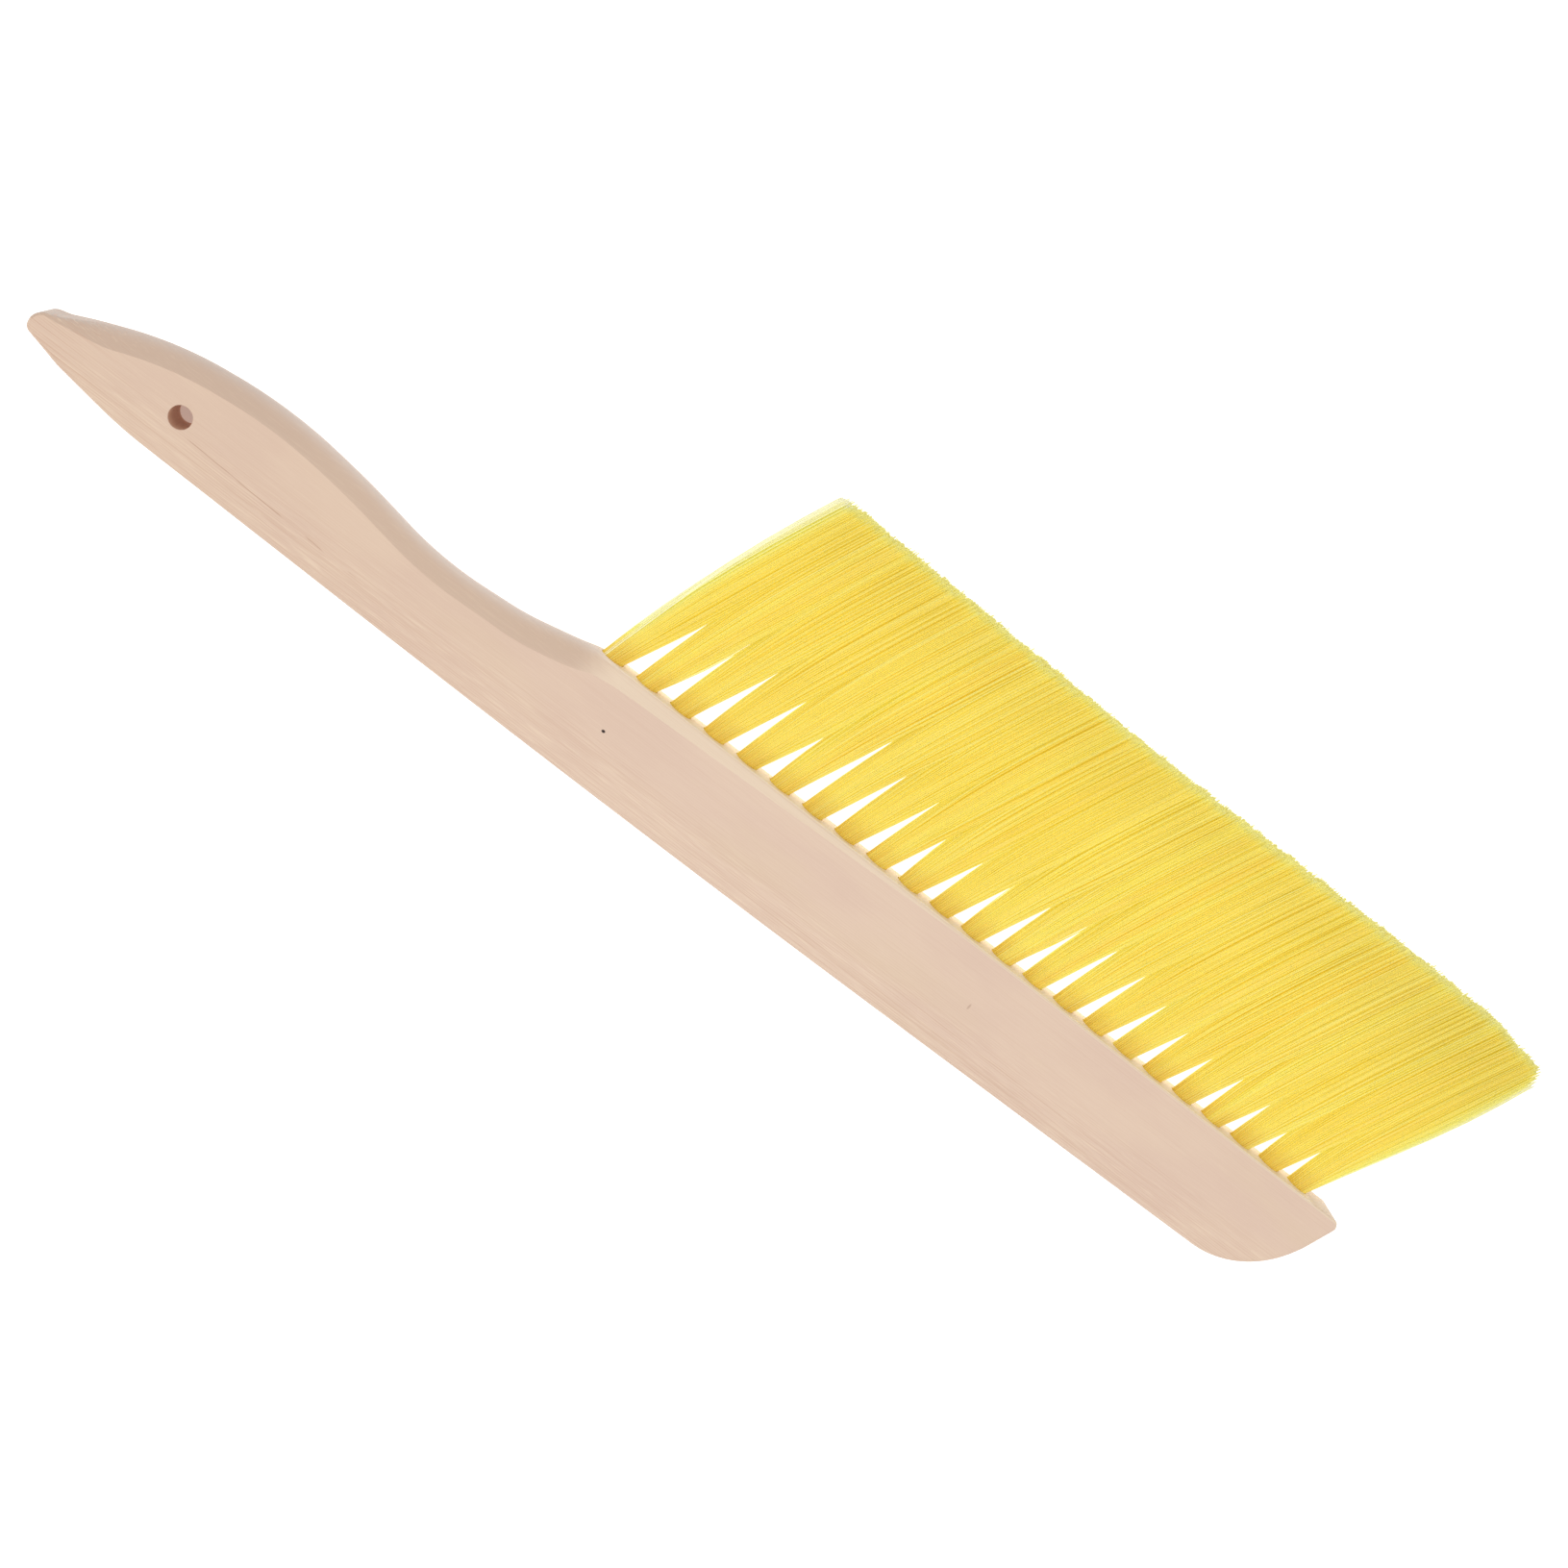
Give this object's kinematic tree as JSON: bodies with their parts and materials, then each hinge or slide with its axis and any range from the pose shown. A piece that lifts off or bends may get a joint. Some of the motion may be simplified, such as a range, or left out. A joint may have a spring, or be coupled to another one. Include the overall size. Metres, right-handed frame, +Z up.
{
  "type": "bee brush",
  "caption": "Flat wooden bee brush: shaped handle and block in one piece with a hang hole, and one row of long soft bristle tufts that lean towards the head.",
  "frame": {"origin": "centre of the hang hole, in the plane of the broad face that the brush lies on", "axes": "+X along the handle towards the head, +Y towards the bristle tips, +Z up through the thickness of the wood"},
  "size_m": [0.3935, 0.0907, 0.012],
  "materials": {
    "wood": "sanded bare wood",
    "bristle": "smooth translucent filaments",
    "anchor_wire": "drawn flat wire"
  },
  "bodies": {
    "root": {"handle": "wood", "tuft_anchors": "anchor_wire", "tuft_01": "bristle", "tuft_02": "bristle", "tuft_03": "bristle", "tuft_04": "bristle", "tuft_05": "bristle", "tuft_06": "bristle", "tuft_07": "bristle", "tuft_08": "bristle", "tuft_09": "bristle", "tuft_10": "bristle", "tuft_11": "bristle", "tuft_12": "bristle", "tuft_13": "bristle", "tuft_14": "bristle", "tuft_15": "bristle", "tuft_16": "bristle", "tuft_17": "bristle", "tuft_18": "bristle", "tuft_19": "bristle", "tuft_20": "bristle", "tuft_21": "bristle", "tuft_22": "bristle", "tuft_23": "bristle"}
  },
  "joints": []
}
